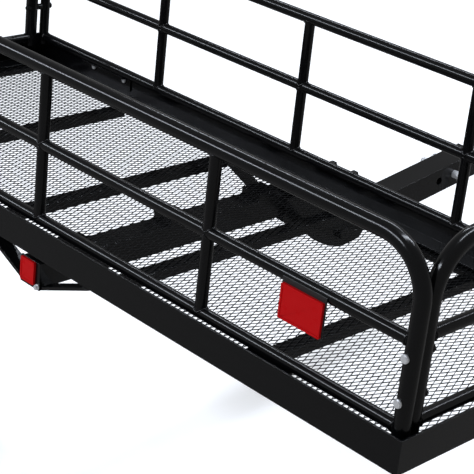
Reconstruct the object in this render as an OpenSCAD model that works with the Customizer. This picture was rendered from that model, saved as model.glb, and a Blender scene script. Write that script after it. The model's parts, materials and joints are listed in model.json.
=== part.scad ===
// Folding hitch cargo carrier: a railed mesh tray on a folding shank.
// Origin: centre of the free hitch-pin hole. +Y towards the vehicle, +Z up, +X to the right.
// All sizes in millimetres.

/* [Tray] */
// Length of the tray across the vehicle
tray_l = 1524; // [1400:1:1600]
// Depth of the tray along the vehicle
tray_w = 610; // [560:1:640]
// Height of the upright skirt
skirt_h = 51; // [46:1:53]
// Width of the flat leg of the edge angle
leg_w = 38; // [34:1:40]
// Thickness of the edge angle
angle_t = 3; // [2.5:0.5:4]
// Pitch of the tray on the shank, rear edge up
tray_pitch = 8; // [4:1:10]

/* [Floor] */
// Thickness of the expanded-metal floor
floor_t = 2.5; // [1.5:0.5:3]
// Inset of the floor from the tray edge
floor_inset = 6; // [3:1:10]
// Width of a floor slat
slat_w = 25; // [20:1:30]
// Depth of a floor slat
slat_h = 16; // [12:1:16]
// Width of the flat bars under the floor's edge
bar_w = 35; // [30:1:36]
// Distance of those bars from the skirt's outer face
bar_inset = 16; // [15:1:20]
// Slat distance from the middle, inner pair
slat_inner_x = 146; // [140:1:160]
// Slat distance from the middle, outer pair
slat_outer_x = 440; // [400:1:460]

/* [Rails] */
// Height of the bottom rail axis above the skirt's lower edge
rail_low_z = 53; // [52:1:55]
// Height of the middle rail axis
rail_mid_z = 176; // [172:1:180]
// Height of the top rail axis
rail_top_z = 299; // [280:1:320]
// Outside diameter of the middle and bottom rails
rail_d = 18.6; // [18.4:0.2:18.8]
// Outside diameter of the upright posts
post_d = 18.2; // [16.2:0.2:18.2]
// Outside diameter of the rear and end hoops
hoop_d = 24; // [22:0.5:24]
// Outside diameter of the front hoop
front_hoop_d = 19.4; // [19:0.2:20]
// Wall thickness of every tube
tube_wall = 1.8; // [1.2:0.1:2.5]
// Centre-line radius of the hoop corners
bend_r = 74; // [60:1:84]
// Distance of the outer posts from the middle
post_x = 370; // [340:1:400]
// Inset of the rear and front rails from the skirt's outer face
rail_inset_y = 21; // [21:0.5:22]
// Inset of the end rails from the skirt's outer face
rail_inset_x = 24; // [24:0.5:25]
// Lower end of the hoop legs
hoop_foot_z = 38; // [30:1:42]

/* [Main beam] */
// Width of the main beam
beam_w = 44; // [40:1:44]
// Height of the main beam
beam_h = 42; // [38:1:46]
// Wall of the main beam
beam_wall = 3; // [2:0.5:4]
// Upper face of the main beam, below the skirt's lower edge
beam_drop = 15.3; // [14:0.1:18]

/* [Shank] */
// Side of the square shank
shank_w = 50.8; // [50.8:0.1:51]
// Wall of the square shank
shank_wall = 5; // [3:0.5:6.4]
// Radius of the hitch-pin holes
hitch_hole_r = 8.25; // [8:0.05:8.5]
// Distance from the free hole to the hole with the stored pin
second_hole_y = 46; // [42:0.5:60]
// Shank end beyond the free hole
shank_front_y = 118; // [100:1:130]
// Fold pivot behind the free hole
pivot_y = -292; // [-300:1:-285]

/* [Hinge] */
// Thickness of a hinge plate
plate_t = 5; // [4:0.5:6]
// Gap between shank and hinge plate
plate_gap = 1.1; // [0.5:0.1:1.5]
// Radius of the pivot bolt and of the lock pin
pin_r = 6.35; // [6:0.05:6.5]
// Distance from the pivot to the lock pin
lock_reach = 35.5; // [34.5:0.5:36.5]
// Angle of the lock pin above the shank's axis, seen from the pivot
lock_angle = 24; // [18:1:26]

/* [Selection] */
// Piece to draw

/* [Hidden] */
$fn = 64;
run_gap = 0.05;
free_gap = 0.35;
half_l = tray_l / 2;
half_w = tray_w / 2;
rail_r = rail_d / 2;
post_r = post_d / 2;
hoop_r = hoop_d / 2;
front_r = front_hoop_d / 2;
// tray frame origin, seen from the free hitch-pin hole
tray_off_y = -695;
tray_off_z = 83.4;
// rail planes in the tray frame
rear_y = -half_w + rail_inset_y;
front_y = half_w - rail_inset_y;
end_x = half_l - rail_inset_x;
rear_leg_x = half_l - 19.5;
front_leg_x = half_l - 29;
// end hoop legs: the rear one stands against the rear hoop, the front one is spaced off
end_rear_y = rear_y + hoop_d + 0.1;
end_front_y = front_y - 30;
floor_z = -floor_t;
beam_top = -beam_drop;
beam_bot = beam_top - beam_h;
beam_rear = -half_w + 12;
beam_front = half_w - 3;
plate_in = shank_w / 2 + plate_gap;
plate_out = plate_in + plate_t;
lock_y = lock_reach * cos(lock_angle);
lock_z = lock_reach * sin(lock_angle);
bolt_r = 4;
bolt_hole_r = 4.25;
bolt_z = [92, 155];
front_bolt_z = [118, 152];
wire_r = 1.8;
lock_wire_r = 1.6;
hitch_pin_r = 7.94;
hitch_clip_x = -45;
hitch_bend_x = 34;
hitch_arm = 26;
hitch_lean = 60;
lock_clip_x = 39;
bar_h = 9;
sleeve_r = 9.5;
riser_len = 46;
riser_inset = 24;
end_plate_w = 48;
end_plate_z = [-60, -14];
end_plate_t = 3;
beam_bolt_x = 19;
beam_bolt_z = -55;
beam_reflector_w = 34;
beam_reflector_h = 39;
beam_reflector_t = 4;
rear_brace_w = 27;
rear_brace_slope = 0.42;
rear_brace_drop = 3;
brace_t = 5;
pad_len = 46;
slat_half = half_w - bar_inset - bar_w;
end_half = (end_front_y - end_rear_y) / 2;
end_mid_y = (end_front_y + end_rear_y) / 2;
bolt_x = half_l - 22;
rear_bolt_from = rear_y - hoop_r;
rear_bolt_to = end_rear_y + hoop_r;
front_bolt_from = front_y + front_r;
front_bolt_to = end_front_y - hoop_r;
nut_t = 6.5;
nut_af = 13;
corner_nut_t = 4;
corner_nut_af = 11;
bolt_tip = 1.5;
bracket_x = 534;
bracket_w = 130;
rear_bracket_x = 512;
rear_bracket_w = 82;
bracket_bolt_x = 47;
bracket_bolt_z = 31;
bracket_t = 3;
bracket_z = 12;
reflector_x = 564;
reflector_w = 75;
reflector_h = 51;
reflector_t = 4;
reflector_z = 119;
backing_t = 2;
outer_bolt_x = [70, 121];
outer_bolt_z = 44;
outer_plate_t = 3;
outer_plate_z = [22, 51];

// ---------- helpers ----------

// places a piece drawn in the tray frame
module tray() {
    rotate([-tray_pitch, 0, 0])
        translate([0, tray_off_y, tray_off_z])
            children();
}

// cylinder along X, centred
module rod_x(r, len) {
    rotate([0, 90, 0])
        cylinder(h = len, r = r, center = true);
}

// cylinder along Y, centred
module rod_y(r, len) {
    rotate([90, 0, 0])
        cylinder(h = len, r = r, center = true);
}

// cylinder between two points of the plane y = 0
module rod_xz(a, b, r) {
    d = b - a;
    translate([a[0], 0, a[1]])
        rotate([0, atan2(d[0], d[1]), 0])
            cylinder(h = norm(d), r = r);
}

// hexagon prism along Z
module hex(af, h) {
    cylinder(h = h, r = af / 2 / cos(30), $fn = 6);
}

// solid outline of a hoop along X: legs, bends and top
module hoop_core(half, r, over) {
    for (s = [-1, 1]) {
        translate([s * half, 0, hoop_foot_z - over])
            cylinder(h = rail_top_z - bend_r - hoop_foot_z + over, r = r);
        translate([s * (half - bend_r), 0, rail_top_z - bend_r])
            rotate([90, 0, 0])
                rotate([0, 0, s > 0 ? 0 : 90])
                    rotate_extrude(angle = 90)
                        translate([bend_r, 0])
                            circle(r = r);
    }
    translate([0, 0, rail_top_z])
        rod_x(r, 2 * (half - bend_r));
}

// hollow hoop along X with the cross holes for the corner bolts
module hoop(half, r, hole_x, heights) {
    difference() {
        hoop_core(half, r, 0);
        hoop_core(half, r - tube_wall, 1);
        for (s = [-1, 1], z = heights)
            translate([s * hole_x, 0, z])
                rod_y(bolt_hole_r, 4 * r);
    }
}

// hollow tube along X with ends shaped to two upright legs
module rail_x(half, r, leg_r) {
    difference() {
        rod_x(r, 2 * half);
        rod_x(r - tube_wall, 2 * half + 2);
        for (s = [-1, 1])
            translate([s * half, 0, -4 * leg_r])
                cylinder(h = 8 * leg_r, r = leg_r);
    }
}

// two hollow posts, bottom rail to middle rail and middle rail to top rail
module post(top_r) {
    difference() {
        translate([0, 0, rail_low_z])
            cylinder(h = rail_top_z - rail_low_z, r = post_r);
        translate([0, 0, rail_low_z - 1])
            cylinder(h = rail_top_z - rail_low_z + 2, r = post_r - tube_wall);
        for (z = [rail_low_z, rail_mid_z])
            translate([0, 0, z])
                rod_x(rail_r, 3 * post_r);
        translate([0, 0, rail_top_z])
            rod_x(top_r, 3 * post_r);
    }
}

// edge angle along X, standing on y = 0 with its leg towards +Y, both ends mitred
module edge_angle(len) {
    intersection() {
        union() {
            translate([-len / 2, 0, 0])
                cube([len, angle_t, skirt_h]);
            translate([-len / 2, 0, 0])
                cube([len, leg_w, angle_t]);
        }
        linear_extrude(height = skirt_h)
            polygon([
                [-len / 2, 0],
                [len / 2, 0],
                [len / 2 - leg_w, leg_w],
                [-len / 2 + leg_w, leg_w]
            ]);
    }
}

// ---------- shank body ----------

module shank_section(side) {
    translate([-side / 2, pivot_y - shank_w / 2, -side / 2])
        cube([side, shank_front_y - pivot_y + shank_w / 2, side]);
}

module shank_tube() {
    color("#1b1c1e")
    difference() {
        intersection() {
            shank_section(shank_w);
            union() {
                translate([0, pivot_y, 0])
                    rod_x(shank_w / 2, shank_w + 2);
                translate([-shank_w, pivot_y, -shank_w])
                    cube([2 * shank_w, shank_front_y - pivot_y, 2 * shank_w]);
            }
        }
        translate([-shank_w / 2 + shank_wall, pivot_y - shank_w, -shank_w / 2 + shank_wall])
            cube([shank_w - 2 * shank_wall, 2 * (shank_front_y - pivot_y), shank_w - 2 * shank_wall]);
        for (y = [0, second_hole_y])
            translate([0, y, 0])
                rod_x(hitch_hole_r, shank_w + 2);
        translate([0, pivot_y, 0])
            rod_x(sleeve_r, shank_w + 2);
        lock_slot();
    }
}

// curved way of the lock pin, open at the shank's lower face
module lock_slot() {
    slot_r = pin_r + free_gap;
    arm_y = 80 * cos(lock_angle);
    arm_z = 80 * sin(lock_angle);
    translate([0, pivot_y, 0]) {
        translate([0, lock_y, lock_z])
            rod_x(slot_r, shank_w + 2);
        rotate([90, 0, 90])
            translate([0, 0, -shank_w / 2 - 1])
                linear_extrude(height = shank_w + 2)
                    difference() {
                        intersection() {
                            circle(r = lock_reach + slot_r);
                            polygon([[0, 0], [arm_y, arm_z], [80, 0], [80, -80], [0, -80]]);
                        }
                        circle(r = lock_reach - slot_r);
                    }
    }
}

module pivot_sleeve() {
    color("#8d9094")
    translate([0, pivot_y, 0])
        difference() {
            rod_x(sleeve_r, shank_w + 1.4);
            rod_x(pin_r + run_gap, shank_w + 4);
        }
}

// ---------- pins and clips ----------

// straight pin along X with a head on the right and a cross hole on the left
module headed_pin(r, head_x, head_t, head_r, tip_x, hole_x, hole_r) {
    difference() {
        union() {
            translate([tip_x + r / 2, 0, 0])
                rotate([0, 90, 0])
                    cylinder(h = head_x - tip_x - r / 2, r = r);
            translate([tip_x, 0, 0])
                rotate([0, 90, 0])
                    cylinder(h = r / 2, r1 = r * 0.72, r2 = r);
            translate([head_x, 0, 0])
                rotate([0, 90, 0])
                    cylinder(h = head_t * 0.6, r = head_r);
            translate([head_x + head_t * 0.6, 0, 0])
                rotate([0, 90, 0])
                    cylinder(h = head_t * 0.4, r1 = head_r, r2 = head_r * 0.82);
        }
        translate([hole_x, 0, -2 * r])
            cylinder(h = 4 * r, r = hole_r);
    }
}

// pin along X, bent on the right into an arm that hangs down, with a cross hole on the left
module bent_pin(r, bend_x, arm, tip_x, hole_x, hole_r, lean) {
    bend = 1.6 * r;
    difference() {
        union() {
            translate([tip_x + r / 2, 0, 0])
                rotate([0, 90, 0])
                    cylinder(h = bend_x - tip_x - r / 2, r = r);
            translate([tip_x, 0, 0])
                rotate([0, 90, 0])
                    cylinder(h = r / 2, r1 = r * 0.72, r2 = r);
            translate([bend_x, 0, -bend])
                rotate([90, 0, 0])
                    rotate_extrude(angle = 90)
                        translate([bend, 0])
                            circle(r = r);
            translate([bend_x + bend, 0, -bend - arm])
                cylinder(h = arm, r = r);
        }
        rotate([-lean, 0, 0])
            translate([hole_x, 0, -2 * r])
                cylinder(h = 4 * r, r = hole_r);
    }
}

// spring clip in the plane x = 0: straight leg on the Z axis, outer leg beside the pin
module spring_clip(pr, wr, low, high) {
    off = pr + wr + free_gap;
    translate([0, 0, -low])
        cylinder(h = low + high, r = wr);
    translate([0, off, -pr * 0.9])
        cylinder(h = pr * 0.9 + high, r = wr);
    translate([0, off, -pr * 0.9])
        sphere(r = wr);
    translate([0, off, -pr * 0.9])
        rotate([205, 0, 0])
            cylinder(h = pr * 0.9, r = wr);
    translate([0, off / 2, high])
        rotate([90, 0, 90])
            rotate_extrude(angle = 180)
                translate([off / 2, 0])
                    circle(r = wr);
}

module hitch_pin() {
    color("#c4c7ca")
    translate([0, second_hole_y, 0])
        bent_pin(hitch_pin_r, hitch_bend_x, hitch_arm, -58, hitch_clip_x, wire_r + run_gap, hitch_lean);
}

module hitch_clip() {
    color("#c4c7ca")
    translate([hitch_clip_x, second_hole_y, 0])
        rotate([-hitch_lean, 0, 0])
            spring_clip(hitch_pin_r, wire_r, 24, 21);
}

module lock_pin() {
    color("#c4c7ca")
    translate([0, pivot_y + lock_y, lock_z])
        rotate([0, 0, 180])
            headed_pin(pin_r, plate_out + free_gap, 5, 10, -48, -lock_clip_x, lock_wire_r + run_gap);
}

module lock_clip() {
    color("#c4c7ca")
    translate([lock_clip_x, pivot_y + lock_y, lock_z])
        spring_clip(pin_r, lock_wire_r, 20, 17);
}

// ---------- tray frame and floor ----------

module rear_angle() {
    color("#1b1c1e")
    tray()
        translate([0, -half_w, 0])
            edge_angle(tray_l);
}

module front_angle() {
    color("#1b1c1e")
    tray()
        difference() {
            translate([0, half_w, 0])
                rotate([0, 0, 180])
                    edge_angle(tray_l);
            for (s = [-1, 1], dx = [-bracket_bolt_x, bracket_bolt_x])
                translate([s * bracket_x + dx, half_w, bracket_bolt_z])
                    rod_y(bolt_hole_r, 4 * angle_t);
            for (x = outer_bolt_x)
                translate([x, half_w, outer_bolt_z])
                    rod_y(bolt_hole_r, 4 * angle_t);
        }
}

module left_angle() {
    color("#1b1c1e")
    tray()
        translate([-half_l, 0, 0])
            rotate([0, 0, -90])
                edge_angle(tray_w);
}

module right_angle() {
    color("#1b1c1e")
    tray()
        translate([half_l, 0, 0])
            rotate([0, 0, 90])
                edge_angle(tray_w);
}

// flat bars under the floor along the rear and front edges
module floor_long_bars() {
    color("#161718")
    tray()
        for (y = [-half_w + bar_inset, half_w - bar_inset - bar_w])
            translate([-half_l + bar_inset, y, floor_z - bar_h])
                cube([tray_l - 2 * bar_inset, bar_w, bar_h]);
}

// flat bars under the floor along the two ends
module floor_end_bars() {
    color("#161718")
    tray()
        for (x = [-half_l + bar_inset, half_l - bar_inset - bar_w])
            translate([x, -slat_half, floor_z - bar_h])
                cube([bar_w, 2 * slat_half, bar_h]);
}

module slat(x) {
    difference() {
        translate([x - slat_w / 2, -slat_half, floor_z - slat_h])
            cube([slat_w, 2 * slat_half, slat_h]);
        translate([x - slat_w / 2 + 2, -half_w, floor_z - slat_h + 2])
            cube([slat_w - 4, tray_w, slat_h - 4]);
    }
}

// four hollow cross slats between the long bars
module floor_slats() {
    color("#161718")
    tray()
        for (x = [-slat_outer_x, -slat_inner_x, slat_inner_x, slat_outer_x])
            slat(x);
}

module floor_mesh() {
    color("#222326")
    tray()
        translate([-half_l + floor_inset, -half_w + floor_inset, floor_z])
            cube([tray_l - 2 * floor_inset, tray_w - 2 * floor_inset, floor_t]);
}

// ---------- beam and braces ----------

module main_beam() {
    color("#1b1c1e")
    tray()
        difference() {
            translate([-beam_w / 2, beam_rear, beam_bot])
                cube([beam_w, beam_front - beam_rear, beam_h]);
            translate([-beam_w / 2 + beam_wall, beam_rear - 1, beam_bot + beam_wall])
                cube([beam_w - 2 * beam_wall, tray_w, beam_h - 2 * beam_wall]);
        }
}

module beam_risers() {
    color("#1b1c1e")
    tray()
        for (y = [-slat_half + riser_inset, -riser_len / 2, slat_half - riser_inset - riser_len])
            translate([-beam_w / 2, y, beam_top])
                cube([beam_w, riser_len, floor_z - beam_top]);
}

module beam_end_plate() {
    color("#1b1c1e")
    tray()
        difference() {
            translate([-end_plate_w / 2, beam_rear - end_plate_t, end_plate_z[0]])
                cube([end_plate_w, end_plate_t, end_plate_z[1] - end_plate_z[0]]);
            translate([beam_bolt_x, beam_rear, beam_bolt_z])
                rod_y(2.6, 4 * end_plate_t);
        }
}

module beam_reflector() {
    color("#c81818")
    tray()
        translate([-21, beam_rear - end_plate_t - beam_reflector_t, end_plate_z[1] - 1 - beam_reflector_h])
            cube([beam_reflector_w, beam_reflector_t, beam_reflector_h]);
}

module beam_reflector_bolt() {
    color("#c4c7ca")
    tray()
        translate([beam_bolt_x, beam_rear - end_plate_t, beam_bolt_z]) {
            translate([0, end_plate_t / 2, 0])
                rod_y(2.5, end_plate_t);
            rotate([90, 0, 0])
                cylinder(h = 1.2, r = 5);
            translate([0, -1.2, 0])
                rotate([90, 0, 0])
                    hex(7, 3.4);
        }
}

// flat bar from the beam's lower edge up to the bar under the floor's rear edge
module rear_brace(s) {
    root = beam_w / 2;
    low = beam_bot - rear_brace_drop;
    under = floor_z - bar_h;
    thick = brace_t / cos(atan(rear_brace_slope));
    far = root + (under - low) / rear_brace_slope;
    color("#1b1c1e")
    tray()
        translate([0, beam_rear + rear_brace_w, 0])
            rotate([90, 0, 0])
                linear_extrude(height = rear_brace_w)
                    polygon([
                        [s * root, low],
                        [s * far, under],
                        [s * (far - thick / rear_brace_slope), under],
                        [s * root, low + thick]
                    ]);
}

module rear_brace_left() {
    rear_brace(-1);
}

module rear_brace_right() {
    rear_brace(1);
}

// flat bar from the hinge plate up to the front angle
module front_brace(s) {
    color("#1b1c1e")
    tray()
        translate([0, half_w - 9, 0])
            rotate([90, 0, 0])
                linear_extrude(height = brace_t)
                    polygon([
                        [s * plate_out, -92],
                        [s * plate_out, -71],
                        [s * 172, floor_z],
                        [s * 253, floor_z]
                    ]);
}

module front_brace_left() {
    front_brace(-1);
}

module front_brace_right() {
    front_brace(1);
}

// ---------- hinge ----------

// side view of a hinge plate: [y, z] measured from the free hitch-pin hole
plate_outline = [
    [-435, 125],
    [-380, 117],
    [-300, 60],
    [-228, 36],
    [-228, -20],
    [-240, -31],
    [-286, -31],
    [-322, -17],
    [-341, -5],
    [-363, 12],
    [-382, 32],
    [-440, 80],
    [-440, 88]
];

module hinge_plate(s) {
    color("#1b1c1e")
    difference() {
        translate([s > 0 ? plate_in : -plate_out, 0, 0])
            rotate([90, 0, 90])
                linear_extrude(height = plate_t)
                    polygon(plate_outline);
        for (p = [[0, 0], [lock_y, lock_z]])
            translate([0, pivot_y + p[0], p[1]])
                rod_x(pin_r + run_gap, 3 * shank_w);
    }
}

module hinge_plate_left() {
    hinge_plate(-1);
}

module hinge_plate_right() {
    hinge_plate(1);
}

module hinge_pads() {
    color("#1b1c1e")
    tray()
        for (s = [-1, 1])
            translate([s > 0 ? beam_w / 2 : -plate_in, beam_front - 2 - pad_len, beam_bot + 2])
                cube([plate_in - beam_w / 2, pad_len, beam_h - 10]);
}

module hinge_stop_plate() {
    color("#1b1c1e")
    translate([-plate_in, -284, -shank_w / 2 - free_gap - 5])
        cube([2 * plate_in, 44, 5]);
}

module pivot_bolt() {
    color("#1b1c1e")
    translate([0, pivot_y, 0]) {
        translate([-plate_out - 15, 0, 0])
            rotate([0, 90, 0])
                cylinder(h = 2 * plate_out + 15, r = pin_r);
        translate([plate_out, 0, 0])
            rotate([0, 90, 0])
                cylinder(h = 2, r = 13);
        translate([plate_out + 2, 0, 0])
            rotate([0, 90, 0])
                hex(19, 8);
    }
}

module pivot_nut() {
    color("#1b1c1e")
    translate([-plate_out, pivot_y, 0])
        difference() {
            union() {
                rotate([0, -90, 0])
                    cylinder(h = 2, r = 13);
                translate([-2, 0, 0])
                    rotate([0, -90, 0])
                        hex(19, 10);
            }
            rod_x(pin_r, 60);
        }
}

// ---------- rail panels ----------

module rear_hoop() {
    color("#1b1c1e")
    tray()
        translate([0, rear_y, 0])
            hoop(rear_leg_x, hoop_r, bolt_x, bolt_z);
}

module rear_mid_rail() {
    color("#1b1c1e")
    tray()
        translate([0, rear_y, rail_mid_z])
            rail_x(rear_leg_x, rail_r, hoop_r);
}

module rear_bottom_rail() {
    color("#1b1c1e")
    tray()
        translate([0, rear_y, rail_low_z])
            rail_x(rear_leg_x, rail_r, hoop_r);
}

module rear_post(x) {
    color("#1b1c1e")
    tray()
        translate([x, rear_y, 0])
            post(hoop_r);
}

module rear_post_left() {
    rear_post(-post_x);
}

module rear_post_centre() {
    rear_post(0);
}

module rear_post_right() {
    rear_post(post_x);
}

module front_hoop() {
    color("#1b1c1e")
    tray()
        translate([0, front_y, 0])
            hoop(front_leg_x, front_r, front_leg_x, front_bolt_z);
}

module front_mid_rail() {
    color("#1b1c1e")
    tray()
        translate([0, front_y, rail_mid_z])
            rail_x(front_leg_x, rail_r, front_r);
}

module front_bottom_rail() {
    color("#1b1c1e")
    tray()
        translate([0, front_y, rail_low_z])
            rail_x(front_leg_x, rail_r, front_r);
}

module front_post(x) {
    color("#1b1c1e")
    tray()
        translate([x, front_y, 0])
            post(front_r);
}

module front_post_left() {
    front_post(-post_x);
}

module front_post_centre() {
    front_post(0);
}

module front_post_right() {
    front_post(post_x);
}

// end hoop along Y; the corner bolts run along it
module end_hoop(s) {
    color("#1b1c1e")
    tray()
        difference() {
            translate([s * end_x, end_mid_y, 0])
                rotate([0, 0, 90])
                    difference() {
                        hoop_core(end_half, hoop_r, 0);
                        hoop_core(end_half, hoop_r - tube_wall, 1);
                    }
            for (z = bolt_z)
                translate([s * bolt_x, end_rear_y, z])
                    rod_y(bolt_hole_r, 4 * hoop_r);
            for (z = front_bolt_z)
                translate([s * front_leg_x, end_front_y, z])
                    rod_y(bolt_hole_r, 4 * hoop_r);
        }
}

module end_rail(s, z) {
    color("#1b1c1e")
    tray()
        translate([s * end_x, end_mid_y, z])
            rotate([0, 0, 90])
                rail_x(end_half, rail_r, hoop_r);
}

module left_hoop() {
    end_hoop(-1);
}

module left_mid_rail() {
    end_rail(-1, rail_mid_z);
}

module left_bottom_rail() {
    end_rail(-1, rail_low_z);
}

module right_hoop() {
    end_hoop(1);
}

module right_mid_rail() {
    end_rail(1, rail_mid_z);
}

module right_bottom_rail() {
    end_rail(1, rail_low_z);
}

// ---------- fasteners and brackets ----------

// bolt along Y from its head face a to the far face b
module cross_bolt(a, b) {
    s = b > a ? 1 : -1;
    len = abs(b - a) + corner_nut_t + bolt_tip;
    translate([0, a + s * len / 2, 0])
        rod_y(bolt_r, len);
    translate([0, a - s * 1.2, 0])
        rod_y(6.2, 2.4);
    translate([0, a - s * 3.1, 0])
        rod_y(5.2, 1.4);
}

// nut of thickness t along Y standing on the face b, away from a
module cross_nut(a, b, t, af) {
    s = b > a ? 1 : -1;
    translate([0, b + (s > 0 ? t : 0), 0])
        rotate([90, 0, 0])
            difference() {
                hex(af, t);
                translate([0, 0, -1])
                    cylinder(h = t + 2, r = bolt_r);
            }
}

module corner_bolts() {
    color("#c4c7ca")
    tray()
        for (s = [-1, 1], z = bolt_z)
            translate([s * bolt_x, 0, z])
                cross_bolt(rear_bolt_from, rear_bolt_to);
}

module front_corner_bolts() {
    color("#1b1c1e")
    tray()
        for (s = [-1, 1], z = front_bolt_z)
            translate([s * front_leg_x, 0, z])
                cross_bolt(front_bolt_from, front_bolt_to);
}

module corner_nuts() {
    color("#1b1c1e")
    tray()
        for (s = [-1, 1]) {
            for (z = bolt_z)
                translate([s * bolt_x, 0, z])
                    cross_nut(rear_bolt_from, rear_bolt_to, corner_nut_t, corner_nut_af);
            for (z = front_bolt_z)
                translate([s * front_leg_x, 0, z])
                    cross_nut(front_bolt_from, front_bolt_to, corner_nut_t, corner_nut_af);
        }
}

module corner_spacers() {
    color("#1b1c1e")
    tray()
        for (s = [-1, 1], z = front_bolt_z)
            translate([s * front_leg_x, (front_y - front_r + end_front_y + hoop_r) / 2, z])
                difference() {
                    rod_y(6, front_y - front_r - end_front_y - hoop_r);
                    rod_y(bolt_hole_r, 40);
                }
}

// bent bracket between the skirt's inner face (y = 0) and the bottom rail
module bracket(reach, w) {
    translate([-w / 2, -bracket_t, bracket_z])
        cube([w, bracket_t, rail_low_z - rail_r - bracket_z]);
    translate([-w / 2, -reach, rail_low_z - rail_r - bracket_t])
        cube([w, reach, bracket_t]);
}

module front_tray_brackets() {
    color("#1b1c1e")
    tray()
        for (s = [-1, 1])
            translate([s * bracket_x, half_w - angle_t, 0])
                difference() {
                    bracket(rail_inset_y + 2, bracket_w);
                    for (dx = [-bracket_bolt_x, bracket_bolt_x])
                        translate([dx, 0, bracket_bolt_z])
                            rod_y(bolt_hole_r, 20);
                }
}

module rear_tray_brackets() {
    color("#1b1c1e")
    tray()
        for (s = [-1, 1])
            translate([s * rear_bracket_x, -half_w + angle_t, 0])
                rotate([0, 0, 180])
                    bracket(rail_inset_y + 2, rear_bracket_w);
}

module end_tray_brackets() {
    color("#1b1c1e")
    tray()
        for (s = [-1, 1])
            translate([s * (half_l - angle_t), 0, 0])
                rotate([0, 0, s > 0 ? -90 : 90])
                    bracket(rail_inset_x + 2, bracket_w);
}

module bracket_bolts() {
    color("#c4c7ca")
    tray()
        for (s = [-1, 1], dx = [-bracket_bolt_x, bracket_bolt_x])
            translate([s * bracket_x + dx, half_w, bracket_bolt_z]) {
                translate([0, 1.25, 0])
                    rod_y(bolt_r, 14.5);
                translate([0, -angle_t - bracket_t, 0])
                    rotate([90, 0, 0])
                        hex(10, 3);
            }
}

module bracket_nuts() {
    color("#c4c7ca")
    tray()
        for (s = [-1, 1], dx = [-bracket_bolt_x, bracket_bolt_x])
            translate([s * bracket_x + dx, half_w, bracket_bolt_z])
                cross_nut(-1, 0, nut_t, nut_af);
}

module rear_reflectors() {
    color("#c81818")
    tray()
        for (s = [-1, 1])
            translate([
                s * reflector_x - reflector_w / 2,
                rear_y - rail_r - backing_t - reflector_t,
                reflector_z
            ])
                cube([reflector_w, reflector_t, reflector_h]);
}

module reflector_backings() {
    color("#141414")
    tray()
        for (s = [-1, 1])
            translate([s * reflector_x - reflector_w / 2 - 2, rear_y - rail_r - backing_t, reflector_z - 2])
                cube([reflector_w + 4, backing_t, rail_mid_z - reflector_z + 4]);
}

module front_outer_plate() {
    color("#1b1c1e")
    tray()
        difference() {
            translate([outer_bolt_x[0] - 16, half_w, outer_plate_z[0]])
                cube([
                    outer_bolt_x[1] - outer_bolt_x[0] + 32,
                    outer_plate_t,
                    outer_plate_z[1] - outer_plate_z[0]
                ]);
            for (x = outer_bolt_x)
                translate([x, half_w, outer_bolt_z])
                    rod_y(bolt_hole_r, 20);
        }
}

// studs fixed flush in the skirt, with nuts outside the plate
module outer_plate_bolts() {
    color("#1b1c1e")
    tray()
        for (x = outer_bolt_x)
            translate([x, half_w, outer_bolt_z]) {
                translate([0, (outer_plate_t - angle_t) / 2, 0])
                    rod_y(bolt_r, outer_plate_t + angle_t);
                translate([0, outer_plate_t, 0])
                    rotate([-90, 0, 0])
                        hex(16, 8);
                translate([0, outer_plate_t + 8, 0])
                    rotate([-90, 0, 0])
                        cylinder(h = 3, r = bolt_r);
            }
}

// ---------- selection ----------

shank_tube();
pivot_sleeve();
hitch_pin();
hitch_clip();
lock_pin();
lock_clip();
rear_angle();
front_angle();
left_angle();
right_angle();
floor_long_bars();
floor_end_bars();
floor_slats();
floor_mesh();
main_beam();
beam_risers();
beam_end_plate();
beam_reflector();
beam_reflector_bolt();
hinge_plate_left();
hinge_plate_right();
hinge_pads();
hinge_stop_plate();
pivot_bolt();
pivot_nut();
rear_brace_left();
rear_brace_right();
front_brace_left();
front_brace_right();
rear_hoop();
rear_mid_rail();
rear_bottom_rail();
rear_post_left();
rear_post_centre();
rear_post_right();
front_hoop();
front_mid_rail();
front_bottom_rail();
front_post_left();
front_post_centre();
front_post_right();
left_hoop();
left_mid_rail();
left_bottom_rail();
right_hoop();
right_mid_rail();
right_bottom_rail();
corner_bolts();
front_corner_bolts();
corner_nuts();
corner_spacers();
front_tray_brackets();
rear_tray_brackets();
end_tray_brackets();
bracket_bolts();
bracket_nuts();
rear_reflectors();
reflector_backings();
front_outer_plate();
outer_plate_bolts();
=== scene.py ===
"""Looks of a folding hitch cargo carrier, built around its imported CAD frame."""

import json
import math

import bmesh
import bpy
from bpy.props import FloatProperty, FloatVectorProperty, IntProperty, PointerProperty
from bpy.types import Operator, Panel, PropertyGroup
from mathutils import Matrix, Vector


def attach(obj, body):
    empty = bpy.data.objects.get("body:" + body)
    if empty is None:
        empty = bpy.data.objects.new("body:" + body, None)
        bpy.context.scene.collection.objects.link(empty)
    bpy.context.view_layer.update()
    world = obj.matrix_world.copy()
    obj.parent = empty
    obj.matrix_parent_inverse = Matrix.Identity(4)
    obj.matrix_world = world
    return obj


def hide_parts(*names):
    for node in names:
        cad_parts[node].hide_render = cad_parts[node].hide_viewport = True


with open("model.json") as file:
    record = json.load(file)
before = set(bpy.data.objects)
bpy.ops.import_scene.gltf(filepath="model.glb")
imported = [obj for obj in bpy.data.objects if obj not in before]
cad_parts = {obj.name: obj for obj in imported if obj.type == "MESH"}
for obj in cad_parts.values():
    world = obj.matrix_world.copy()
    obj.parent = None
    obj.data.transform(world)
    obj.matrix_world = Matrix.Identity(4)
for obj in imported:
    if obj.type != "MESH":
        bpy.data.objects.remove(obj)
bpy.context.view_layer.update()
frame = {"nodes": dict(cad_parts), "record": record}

bl_info = {
    "name": "Hitch cargo carrier looks",
    "version": (1, 0, 0),
    "blender": (4, 5, 0),
    "location": "3D View > Sidebar > Carrier",
    "description": "Finishes, expanded-metal floor, welds, reflectors and stage of a hitch cargo carrier",
    "category": "Object",
}

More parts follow.
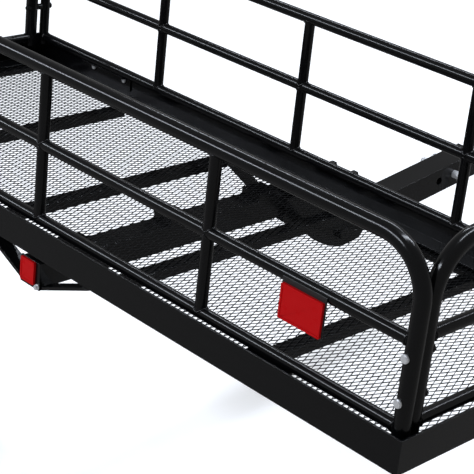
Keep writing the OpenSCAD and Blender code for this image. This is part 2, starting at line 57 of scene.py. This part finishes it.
# The tray frame: origin in the middle of the tray at the skirt's lower edge.
TRAY_PITCH = math.radians(-8)
TRAY_OFFSET = (0, -0.695, 0.0834)
TRAY = Matrix.Rotation(TRAY_PITCH, 4, "X") @ Matrix.Translation(TRAY_OFFSET)

HALF_LENGTH = 0.762
HALF_DEPTH = 0.305
RAIL_LOW_Z = 0.053
RAIL_MID_Z = 0.176
RAIL_TOP_Z = 0.299
RAIL_R = 0.0093
POST_R = 0.0091
HOOP_R = 0.012
FRONT_HOOP_R = 0.0097
REAR_Y = -0.284
FRONT_Y = 0.284
REAR_LEG_X = 0.7425
FRONT_LEG_X = 0.733
END_X = 0.738
END_REAR_Y = -0.2599
END_FRONT_Y = 0.254
POST_X = (-0.37, 0.0, 0.37)
FLOOR_INSET = 0.006

# The expanded metal: its middle plane in the tray frame, and how far a strand leans.
FLOOR_MIDDLE_Z = -0.00125
STRAND_LEAN = math.radians(24)

# The reflector lenses: places in the tray frame, and sizes.
REAR_LENS_X = 0.564
REAR_LENS_Y = -0.2973
REAR_LENS_Z = 0.1445
REAR_LENS_SIZE = (0.075, 0.004, 0.051)
BEAM_LENS_AT = (-0.004, -0.298, -0.0345)
BEAM_LENS_SIZE = (0.034, 0.004, 0.039)
LENS_CORNER = 0.0015
LENS_STEP = 0.0006
LENS_RECESS = -0.0007

# How far sharp edges are rounded in the finishes.
COAT_EDGE = 0.0012
HARDWARE_EDGE = 0.0006

# Segments of a weld bead, round the tube and across the bead.
BEAD_AROUND = 39
BEAD_ACROSS = 6


# ---------------------------------------------------------------- materials


def new_material(name):
    """A node material of this name and its shader; one that came with the CAD is renamed."""
    old = bpy.data.materials.get(name)
    if old is not None:
        old.name = f"{name}_cad"
    mat = bpy.data.materials.new(name)
    mat.use_nodes = True
    nodes = mat.node_tree.nodes
    nodes.clear()
    out = nodes.new("ShaderNodeOutputMaterial")
    shader = nodes.new("ShaderNodeBsdfPrincipled")
    mat.node_tree.links.new(shader.outputs["BSDF"], out.inputs["Surface"])
    return mat, shader


def add(mat, kind):
    """A new node of this kind."""
    return mat.node_tree.nodes.new(kind)


def link(mat, a, b):
    """Joins an output to an input."""
    mat.node_tree.links.new(a, b)


def noise(mat, coords, scale, detail, rough):
    """Cloudy noise of this scale, about 0.3 to 0.7 over most of a surface."""
    node = add(mat, "ShaderNodeTexNoise")
    node.inputs["Scale"].default_value = scale
    node.inputs["Detail"].default_value = detail
    node.inputs["Roughness"].default_value = rough
    link(mat, coords, node.inputs["Vector"])
    return node.outputs["Fac"]


def spread(mat, fac, low, high):
    """Maps the middle of a noise to the range low to high."""
    node = add(mat, "ShaderNodeMapRange")
    node.inputs["From Min"].default_value = 0.3
    node.inputs["From Max"].default_value = 0.7
    node.inputs["To Min"].default_value = low
    node.inputs["To Max"].default_value = high
    link(mat, fac, node.inputs["Value"])
    return node.outputs["Result"]


def bump(mat, height, strength, distance, normal=None):
    """A normal raised by a height, on top of another normal where one is given."""
    node = add(mat, "ShaderNodeBump")
    node.inputs["Strength"].default_value = strength
    node.inputs["Distance"].default_value = distance
    link(mat, height, node.inputs["Height"])
    if normal is not None:
        link(mat, normal, node.inputs["Normal"])
    return node.outputs["Normal"]


def rounded_edges(mat, radius):
    """The normal with sharp edges rounded off to this radius."""
    node = add(mat, "ShaderNodeBevel")
    node.samples = 4
    node.inputs["Radius"].default_value = radius
    return node.outputs["Normal"]


def edge_mask(mat, rounded, gain):
    """1 on sharp edges, 0 on open faces, from how far a rounded normal turns away."""
    geo = add(mat, "ShaderNodeNewGeometry")
    dot = add(mat, "ShaderNodeVectorMath")
    dot.operation = "DOT_PRODUCT"
    link(mat, rounded, dot.inputs[0])
    link(mat, geo.outputs["Normal"], dot.inputs[1])
    turn = add(mat, "ShaderNodeMath")
    turn.operation = "SUBTRACT"
    turn.inputs[0].default_value = 1.0
    link(mat, dot.outputs["Value"], turn.inputs[1])
    scaled = add(mat, "ShaderNodeMath")
    scaled.operation = "MULTIPLY"
    scaled.use_clamp = True
    scaled.inputs[1].default_value = gain
    link(mat, turn.outputs[0], scaled.inputs[0])
    return scaled.outputs[0]


def mix_colour(mat, fac, a, b):
    """Colour a where the factor is 0, b where it is 1."""
    node = add(mat, "ShaderNodeMix")
    node.data_type = "RGBA"
    node.inputs[6].default_value = (*a, 1)
    node.inputs[7].default_value = (*b, 1)
    link(mat, fac, node.inputs[0])
    return node.outputs[2]


def powder_coat(name, colour, rough, specular):
    """Sprayed and baked paint on steel: orange peel, cloudy gloss, and sharp edges painted paler, partly
    for the thinner coat there and partly as a painted highlight.
    """
    mat, shader = new_material(name)
    coords = add(mat, "ShaderNodeTexCoord").outputs["Object"]
    cloud = noise(mat, coords, 14, 4, 0.6)
    grain = noise(mat, coords, 620, 2, 0.5)
    orange = noise(mat, coords, 260, 2, 0.4)
    rounded = rounded_edges(mat, COAT_EDGE)
    edge_highlight_mask = edge_mask(mat, rounded, 5.0)
    # Sharp edges are painted paler: partly the thinner coat on edges, partly a painted highlight along
    # them.
    edge_highlight_colour = tuple(min(1.0, c * 2.2 + 0.012) for c in colour)
    link(mat, mix_colour(mat, edge_highlight_mask, colour, edge_highlight_colour), shader.inputs["Base Color"])
    link(mat, spread(mat, cloud, rough - 0.04, rough + 0.05), shader.inputs["Roughness"])
    fine = bump(mat, grain, 0.1, 0.00003, rounded)
    link(mat, bump(mat, orange, 0.25, 0.00008, fine), shader.inputs["Normal"])
    shader.inputs["Specular IOR Level"].default_value = specular
    return mat


def zinc_plate(name, colour, rough):
    """Bright zinc plating: soft spangle, cloudy gloss and a fine grain."""
    mat, shader = new_material(name)
    coords = add(mat, "ShaderNodeTexCoord").outputs["Object"]
    cells = add(mat, "ShaderNodeTexVoronoi")
    cells.inputs["Scale"].default_value = 420
    link(mat, coords, cells.inputs["Vector"])
    cloud = noise(mat, coords, 90, 4, 0.6)
    fine = noise(mat, coords, 1500, 2, 0.5)
    rounded = rounded_edges(mat, HARDWARE_EDGE)
    dull = tuple(c * 0.82 for c in colour)
    link(mat, mix_colour(mat, cells.outputs["Distance"], dull, colour), shader.inputs["Base Color"])
    link(mat, spread(mat, cloud, rough - 0.06, rough + 0.1), shader.inputs["Roughness"])
    link(mat, bump(mat, fine, 0.15, 0.0001, rounded), shader.inputs["Normal"])
    shader.inputs["Metallic"].default_value = 0.7
    return mat


def reflector_red(name, colour, cell):
    """Moulded red lens over rows of small prisms, painted darker toward each prism's edges as painted
    shade in the grooves between them.
    """
    mat, shader = new_material(name)
    coords = add(mat, "ShaderNodeTexCoord").outputs["Object"]
    turn = add(mat, "ShaderNodeMapping")
    turn.inputs["Rotation"].default_value = (-TRAY_PITCH, 0, 0)
    link(mat, coords, turn.inputs["Vector"])
    prisms = add(mat, "ShaderNodeTexVoronoi")
    prisms.distance = "CHEBYCHEV"
    prisms.inputs["Scale"].default_value = 1.0 / cell
    prisms.inputs["Randomness"].default_value = 0.0
    link(mat, turn.outputs["Vector"], prisms.inputs["Vector"])
    haze = noise(mat, coords, 60, 3, 0.5)
    # Painted shade: each prism cell is painted darker toward its edges, where the prisms meet.
    prism_shade_colour = tuple(c * 0.55 for c in colour)
    link(mat, mix_colour(mat, prisms.outputs["Distance"], colour, prism_shade_colour), shader.inputs["Base Color"])
    link(mat, spread(mat, haze, 0.26, 0.36), shader.inputs["Roughness"])
    link(mat, bump(mat, prisms.outputs["Distance"], 0.2, 0.0002), shader.inputs["Normal"])
    shader.inputs["Specular IOR Level"].default_value = 0.04
    return mat


def plastic(name, colour, rough):
    """Moulded plastic with a fine matt texture, its sharp edges painted paler as a painted highlight."""
    mat, shader = new_material(name)
    coords = add(mat, "ShaderNodeTexCoord").outputs["Object"]
    grain = noise(mat, coords, 900, 3, 0.5)
    cloud = noise(mat, coords, 25, 3, 0.5)
    rounded = rounded_edges(mat, HARDWARE_EDGE)
    edge_highlight_mask = edge_mask(mat, rounded, 4.0)
    # Sharp edges are painted paler as a painted highlight.
    edge_highlight_colour = tuple(min(1.0, c * 2 + 0.01) for c in colour)
    link(mat, mix_colour(mat, edge_highlight_mask, colour, edge_highlight_colour), shader.inputs["Base Color"])
    link(mat, spread(mat, cloud, rough - 0.06, rough + 0.06), shader.inputs["Roughness"])
    link(mat, bump(mat, grain, 0.2, 0.0002, rounded), shader.inputs["Normal"])
    return mat


# ---------------------------------------------------------------- mesh helpers


def finished(bm, name, mat, body, smooth=True):
    """Puts a bmesh into the scene as a finished piece riding on a CAD body."""
    mesh = bpy.data.meshes.new(name)
    bm.to_mesh(mesh)
    bm.free()
    mesh.materials.append(mat)
    for poly in mesh.polygons:
        poly.use_smooth = smooth
    obj = bpy.data.objects.new(name, mesh)
    bpy.context.scene.collection.objects.link(obj)
    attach(obj, body)
    return obj


def into_tray(bm):
    """Moves a piece drawn in the tray frame into the carrier's frame."""
    bmesh.ops.transform(bm, matrix=TRAY, verts=bm.verts[:])


def ring(bm, radius, thick, around, across):
    """A closed ring about Z; returns its vertices."""
    turn = Matrix.Translation((radius, 0, 0)) @ Matrix.Rotation(math.pi / 2, 4, "X")
    made = bmesh.ops.create_circle(bm, segments=across, radius=thick, matrix=turn)
    verts = made["verts"]
    edges = list({e for v in verts for e in v.link_edges})
    before = set(bm.verts) - set(verts)
    bmesh.ops.spin(
        bm,
        geom=verts + edges,
        cent=(0, 0, 0),
        axis=(0, 0, 1),
        angle=2 * math.pi,
        steps=around,
        use_merge=True,
        use_duplicate=False,
    )
    return [v for v in bm.verts if v not in before]


def material(name):
    """A finish made earlier."""
    return bpy.data.materials[name]


# ---------------------------------------------------------------- settings


class CarrierFinishSettings(PropertyGroup):
    """Colours and gloss of the carrier's finishes."""

    paint: FloatVectorProperty(
        name="Paint",
        description="Colour of the black powder coat",
        default=(0.0022, 0.0023, 0.0027),
        min=0,
        max=1,
        subtype="COLOR",
    )
    paint_rough: FloatProperty(
        name="Paint roughness",
        description="Roughness of the gloss on tubes and skirt",
        default=0.15,
        min=0.05,
        max=1,
    )
    paint_specular: FloatProperty(
        name="Paint specular",
        description="Strength of the reflection off the coat",
        default=0.3,
        min=0,
        max=1,
    )
    floor_paint: FloatVectorProperty(
        name="Floor paint",
        description="Colour of the coat on the expanded metal",
        default=(0.002, 0.002, 0.0022),
        min=0,
        max=1,
        subtype="COLOR",
    )
    zinc: FloatVectorProperty(
        name="Zinc",
        description="Colour of the plated pins, clips, bolts and nuts",
        default=(0.86, 0.87, 0.89),
        min=0,
        max=1,
        subtype="COLOR",
    )
    lens: FloatVectorProperty(
        name="Lens",
        description="Colour of the red reflectors",
        default=(0.5, 0.0035, 0.005),
        min=0,
        max=1,
        subtype="COLOR",
    )


class CarrierFloorSettings(PropertyGroup):
    """Sizes of the expanded-metal floor."""

    short_way: FloatProperty(
        name="Short way",
        description="Width of one diamond, along the tray",
        default=0.0097,
        min=0.004,
        max=0.04,
        subtype="DISTANCE",
    )
    long_way: FloatProperty(
        name="Long way",
        description="Length of one diamond, across the tray's depth",
        default=0.0228,
        min=0.008,
        max=0.08,
        subtype="DISTANCE",
    )
    strand: FloatProperty(
        name="Strand width",
        description="Width of one strand",
        default=0.00115,
        min=0.0005,
        max=0.005,
        subtype="DISTANCE",
    )
    thickness: FloatProperty(
        name="Strand thickness",
        description="Thickness of one strand",
        default=0.0012,
        min=0.0005,
        max=0.0025,
        subtype="DISTANCE",
    )
    panels: IntProperty(
        name="Panels",
        description="How many pieces the floor is made in",
        default=4,
        min=1,
        max=12,
    )


class CarrierWeldSettings(PropertyGroup):
    """Sizes of the weld beads."""

    bead: FloatProperty(
        name="Bead",
        description="Radius of a weld bead",
        default=0.0018,
        min=0.0005,
        max=0.005,
        subtype="DISTANCE",
    )
    ripples: IntProperty(
        name="Ripples",
        description="Ripples round one bead",
        default=13,
        min=3,
        max=40,
    )


class CarrierReflectorSettings(PropertyGroup):
    """Sizes of the reflectors."""

    prism: FloatProperty(
        name="Prism",
        description="Side of one prism cell under the lens",
        default=0.0028,
        min=0.001,
        max=0.01,
        subtype="DISTANCE",
    )
    rim: FloatProperty(
        name="Rim",
        description="Width of the plain rim round the lens",
        default=0.003,
        min=0.001,
        max=0.01,
        subtype="DISTANCE",
    )


class CarrierStageSettings(PropertyGroup):
    """Camera, light and floor of the studio."""

    eye: FloatVectorProperty(
        name="Eye",
        description="Where the camera stands",
        default=(1.7452, -2.1849, 1.4535),
        subtype="TRANSLATION",
    )
    azimuth: FloatProperty(
        name="Azimuth",
        description="Turn of the view away from +Y",
        default=math.radians(46.502),
        subtype="ANGLE",
    )
    elevation: FloatProperty(
        name="Elevation",
        description="How far the view looks down",
        default=math.radians(29.884),
        subtype="ANGLE",
    )
    lens: FloatProperty(
        name="Lens",
        description="Focal length on a 36 mm sensor",
        default=119.01,
        min=10,
        max=400,
    )
    floor_drop: FloatProperty(
        name="Floor drop",
        description="Height of the hitch-pin hole above the floor",
        default=0.42,
        min=0.1,
        max=2,
        subtype="DISTANCE",
    )
    sky: FloatProperty(
        name="Sky",
        description="Strength of the even white light all round",
        default=0.24,
        min=0,
        max=10,
    )
    floor_glow: FloatProperty(
        name="Floor glow",
        description="Light given off by the floor, which thins the shadows on it",
        default=0.3,
        min=0,
        max=5,
    )
    strip: FloatProperty(
        name="Strip",
        description="Power of one long strip light for each square metre",
        default=62,
        min=0,
        max=500,
    )


# ---------------------------------------------------------------- operators


class CARRIER_OT_finishes(Operator):
    """Make the finishes and put them on the CAD pieces"""

    bl_idname = "carrier.finishes"
    bl_label = "Finishes"

    def execute(self, context):
        s = context.scene.carrier_finish
        lens = context.scene.carrier_reflector
        made = {
            "black_powder_coat": powder_coat(
                "black_powder_coat", tuple(s.paint), s.paint_rough, s.paint_specular
            ),
            "floor_mesh_paint": powder_coat(
                "floor_mesh_paint", tuple(s.floor_paint), s.paint_rough + 0.3, s.paint_specular / 6
            ),
            "zinc_hardware": zinc_plate("zinc_hardware", tuple(s.zinc), 0.42),
            "sleeve_steel": zinc_plate("sleeve_steel", tuple(c * 0.7 for c in s.zinc), 0.38),
            "red_reflector": reflector_red("red_reflector", tuple(s.lens), lens.prism),
            "reflector_backing": plastic("reflector_backing", (0.012, 0.012, 0.012), 0.45),
        }
        slots = {r["node"]: r["material_slot"] for r in frame["record"]["subparts"]}
        for node, obj in frame["nodes"].items():
            mat = made[slots[node]]
            if not obj.material_slots:
                obj.data.materials.append(mat)
            for mslot in obj.material_slots:
                mslot.material = mat
        return {"FINISHED"}


class CARRIER_OT_expanded_floor(Operator):
    """Weave the expanded-metal floor out of zigzag strands"""

    bl_idname = "carrier.expanded_floor"
    bl_label = "Expanded floor"

    def execute(self, context):
        s = context.scene.carrier_floor
        width = 2 * (HALF_LENGTH - FLOOR_INSET)
        depth = 2 * (HALF_DEPTH - FLOOR_INSET)
        columns = int(width / s.short_way)
        per_panel = columns // s.panels
        rows = int(depth / (s.long_way / 2))
        step = depth / rows
        start_x = -per_panel * s.panels * s.short_way / 2
        for panel in range(s.panels):
            x0 = start_x + panel * per_panel * s.short_way
            bm = bmesh.new()
            for side in (0, 1):
                self.strand(bm, s, x0, side, rows, step, -depth / 2)
            bmesh.ops.recalc_face_normals(bm, faces=bm.faces[:])
            into_tray(bm)
            piece = finished(
                bm,
                f"expanded_floor_{panel + 1}",
                material("floor_mesh_paint"),
                "tray",
                smooth=False,
            )
            repeat = piece.modifiers.new("Columns", "ARRAY")
            repeat.use_relative_offset = False
            repeat.use_constant_offset = True
            repeat.constant_offset_displace = (s.short_way, 0, 0)
            repeat.count = per_panel
            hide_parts("floor_mesh")
        return {"FINISHED"}

    @staticmethod
    def strand(bm, s, x0, side, rows, step, y0):
        """One zigzag strand along Y; side 1 mirrors it, so that the pair bounds a row of diamonds."""
        quarter = s.short_way / 4
        mid = x0 + quarter + side * 2 * quarter
        swing = quarter if side == 0 else -quarter
        lean = Matrix.Rotation(STRAND_LEAN if side == 0 else -STRAND_LEAN, 4, "Y")
        made = bmesh.ops.create_grid(bm, x_segments=1, y_segments=1, size=0.5)
        face_verts = made["verts"]
        flat = Matrix.Diagonal((s.strand, s.thickness, 1, 1))
        upright = Matrix.Rotation(math.pi / 2, 4, "X")
        place = Matrix.Translation((mid - swing, y0, FLOOR_MIDDLE_Z))
        bmesh.ops.transform(bm, matrix=place @ lean @ upright @ flat, verts=face_verts)
        faces = list({f for v in face_verts for f in v.link_faces})
        for i in range(rows):
            grown = bmesh.ops.extrude_face_region(bm, geom=faces, use_keep_orig=(i == 0))
            verts = [g for g in grown["geom"] if isinstance(g, bmesh.types.BMVert)]
            faces = [g for g in grown["geom"] if isinstance(g, bmesh.types.BMFace)]
            way = swing * 2 if i % 2 == 0 else -swing * 2
            bmesh.ops.translate(bm, vec=(way, step, 0), verts=verts)


class CARRIER_OT_rail_welds(Operator):
    """Lay the weld beads where posts and rails meet"""

    bl_idname = "carrier.rail_welds"
    bl_label = "Rail welds"

    def execute(self, context):
        s = context.scene.carrier_weld
        self.bead = s.bead
        self.ripples = s.ripples
        mat = material("black_powder_coat")
        for panel, y, top_r, leg_x, leg_r in (
            ("rear", REAR_Y, HOOP_R, REAR_LEG_X, HOOP_R),
            ("front", FRONT_Y, FRONT_HOOP_R, FRONT_LEG_X, FRONT_HOOP_R),
        ):
            bm = bmesh.new()
            for x in POST_X:
                for z, r, up in (
                    (RAIL_LOW_Z, RAIL_R, 1),
                    (RAIL_MID_Z, RAIL_R, -1),
                    (RAIL_MID_Z, RAIL_R, 1),
                    (RAIL_TOP_Z, top_r, -1),
                ):
                    frame_at = Matrix.Translation((x, y, z)) @ (
                        Matrix.Identity(4) if up > 0 else Matrix.Rotation(math.pi, 4, "X")
                    )
                    self.saddle(bm, POST_R, r, frame_at)
            for z in (RAIL_LOW_Z, RAIL_MID_Z):
                for side in (-1, 1):
                    inward = Matrix.Rotation(-side * math.pi / 2, 4, "Y")
                    upright_leg = inward @ Matrix.Rotation(math.pi / 2, 4, "Z")
                    at_leg = Matrix.Translation((side * leg_x, y, z))
                    self.saddle(bm, RAIL_R, leg_r, at_leg @ upright_leg)
            self.done(bm, f"{panel}_welds", mat)
        for side, label in ((-1, "left"), (1, "right")):
            bm = bmesh.new()
            for z in (RAIL_LOW_Z, RAIL_MID_Z):
                for y, way in ((END_REAR_Y, 1), (END_FRONT_Y, -1)):
                    along = Matrix.Rotation(-way * math.pi / 2, 4, "X")
                    self.saddle(bm, RAIL_R, HOOP_R, Matrix.Translation((side * END_X, y, z)) @ along)
            self.done(bm, f"{label}_welds", mat)
        return {"FINISHED"}

    def saddle(self, bm, branch_r, main_r, place):
        """A rippled bead round a branch tube along Z that stands on a main tube along X."""
        verts = ring(bm, branch_r, self.bead, BEAD_AROUND, BEAD_ACROSS)
        for v in verts:
            angle = math.atan2(v.co.y, v.co.x)
            swell = 1 + 0.12 * math.sin(angle * self.ripples)
            radial = Vector((math.cos(angle), math.sin(angle), 0)) * branch_r
            v.co = radial + (v.co - radial) * swell
            v.co.z += math.sqrt(max(main_r**2 - (branch_r * math.sin(angle)) ** 2, 0))
        bmesh.ops.transform(bm, matrix=place, verts=verts)

    @staticmethod
    def done(bm, name, mat):
        """Finishes the beads of one panel as one piece."""
        bmesh.ops.recalc_face_normals(bm, faces=bm.faces[:])
        into_tray(bm)
        finished(bm, name, mat, "tray")


class CARRIER_OT_reflectors(Operator):
    """Mould the reflector lenses with a rim and a recessed prism field"""

    bl_idname = "carrier.reflectors"
    bl_label = "Reflectors"

    def execute(self, context):
        s = context.scene.carrier_reflector
        for name, node, centre, size in (
            (
                "rear_lens_left",
                "rear_reflectors",
                (-REAR_LENS_X, REAR_LENS_Y, REAR_LENS_Z),
                REAR_LENS_SIZE,
            ),
            (
                "rear_lens_right",
                "rear_reflectors",
                (REAR_LENS_X, REAR_LENS_Y, REAR_LENS_Z),
                REAR_LENS_SIZE,
            ),
            ("beam_lens", "beam_reflector", BEAM_LENS_AT, BEAM_LENS_SIZE),
        ):
            bm = bmesh.new()
            bmesh.ops.create_cube(bm, size=1.0)
            bmesh.ops.transform(bm, matrix=Matrix.Diagonal((*size, 1)), verts=bm.verts[:])
            corners = [e for e in bm.edges if abs((e.verts[0].co - e.verts[1].co).y) > size[1] * 0.9]
            bmesh.ops.bevel(
                bm,
                geom=corners,
                offset=LENS_CORNER,
                offset_type="OFFSET",
                segments=5,
                profile=0.5,
                affect="EDGES",
                material=-1,
            )
            face = min(bm.faces, key=lambda f: f.calc_center_median().y)
            bmesh.ops.inset_region(bm, faces=[face], thickness=s.rim, depth=0)
            bmesh.ops.inset_region(bm, faces=[face], thickness=LENS_STEP, depth=LENS_RECESS)
            bmesh.ops.recalc_face_normals(bm, faces=bm.faces[:])
            bmesh.ops.translate(bm, vec=centre, verts=bm.verts[:])
            into_tray(bm)
            piece = finished(
                bm, name, material("red_reflector"), "tray", smooth=False
            )
            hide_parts(node)
        return {"FINISHED"}


class CARRIER_OT_stage(Operator):
    """Set up the camera, the soft lights and the pale floor"""

    bl_idname = "carrier.stage"
    bl_label = "Stage"

    def execute(self, context):
        s = context.scene.carrier_stage
        scene = context.scene
        data = bpy.data.cameras.new("carrier_camera")
        data.sensor_width = 36
        data.lens = s.lens
        data.clip_end = 50
        eye = bpy.data.objects.new("carrier_camera", data)
        scene.collection.objects.link(eye)
        eye.location = s.eye
        eye.rotation_euler = (math.pi / 2 - s.elevation, 0, s.azimuth)
        scene.camera = eye
        self.lights(scene, s)
        self.floor(s)
        scene.view_settings.view_transform = "Standard"
        return {"FINISHED"}

    @staticmethod
    def lights(scene, s):
        """Even sky and three long strips that draw highlight lines along the tubes."""
        world = bpy.data.worlds.new("studio")
        world.use_nodes = True
        sky = world.node_tree.nodes["Background"]
        sky.inputs["Color"].default_value = (1, 1, 1, 1)
        sky.inputs["Strength"].default_value = s.sky
        scene.world = world
        for name, place, turn, size in (
            ("rear_strip", (-1.8, -2.9, 2.4), (48, 0, 0), (5.0, 0.34)),
            ("far_strip", (-0.9, 1.9, 3.0), (-38, 0, 0), (5.0, 0.2)),
            ("side_strip", (0.9, 1.6, 3.0), (-12, 4, 0), (0.34, 4.5)),
        ):
            data = bpy.data.lights.new(name, "AREA")
            data.shape = "RECTANGLE"
            data.size, data.size_y = size
            data.energy = s.strip * size[0] * size[1]
            data.color = (0.84, 0.9, 1.0)
            lamp = bpy.data.objects.new(name, data)
            scene.collection.objects.link(lamp)
            lamp.location = place
            lamp.rotation_euler = [math.radians(a) for a in turn]

    @staticmethod
    def floor(s):
        """Pale floor with a faint glow, left out of the reflections in the gloss paint."""
        bm = bmesh.new()
        bmesh.ops.create_grid(bm, x_segments=1, y_segments=1, size=12)
        bmesh.ops.translate(bm, vec=(0, 0, -s.floor_drop), verts=bm.verts[:])
        mesh = bpy.data.meshes.new("studio_floor")
        bm.to_mesh(mesh)
        bm.free()
        mat, shader = new_material("studio_floor")
        coords = add(mat, "ShaderNodeTexCoord").outputs["Object"]
        cloud = noise(mat, coords, 3, 2, 0.5)
        link(mat, spread(mat, cloud, 0.85, 0.95), shader.inputs["Roughness"])
        shader.inputs["Base Color"].default_value = (0.93, 0.93, 0.93, 1)
        shader.inputs["Emission Color"].default_value = (1, 1, 1, 1)
        shader.inputs["Emission Strength"].default_value = s.floor_glow
        shader.inputs["Specular IOR Level"].default_value = 0.1
        mesh.materials.append(mat)
        obj = bpy.data.objects.new("studio_floor", mesh)
        bpy.context.scene.collection.objects.link(obj)
        obj.visible_glossy = False


class CARRIER_PT_panel(Panel):
    """Lists the carrier's operators"""

    bl_idname = "CARRIER_PT_panel"
    bl_label = "Cargo carrier"
    bl_space_type = "VIEW_3D"
    bl_region_type = "UI"
    bl_category = "Carrier"

    def draw(self, context):
        for op in OPERATORS:
            self.layout.operator(op.bl_idname)


SETTINGS = {
    "carrier_finish": CarrierFinishSettings,
    "carrier_floor": CarrierFloorSettings,
    "carrier_weld": CarrierWeldSettings,
    "carrier_reflector": CarrierReflectorSettings,
    "carrier_stage": CarrierStageSettings,
}
OPERATORS = (
    CARRIER_OT_finishes,
    CARRIER_OT_expanded_floor,
    CARRIER_OT_rail_welds,
    CARRIER_OT_reflectors,
    CARRIER_OT_stage,
)


def register():
    for cls in (*SETTINGS.values(), *OPERATORS, CARRIER_PT_panel):
        bpy.utils.register_class(cls)
    for name, cls in SETTINGS.items():
        setattr(bpy.types.Scene, name, PointerProperty(type=cls))


def unregister():
    for name in SETTINGS:
        delattr(bpy.types.Scene, name)
    for cls in reversed((*SETTINGS.values(), *OPERATORS, CARRIER_PT_panel)):
        bpy.utils.unregister_class(cls)


def main():
    """Builds the looks."""
    register()
    bpy.ops.carrier.finishes()
    bpy.ops.carrier.expanded_floor()
    bpy.ops.carrier.rail_welds()
    bpy.ops.carrier.reflectors()
    bpy.ops.carrier.stage()


if __name__ == "__main__":
    main()
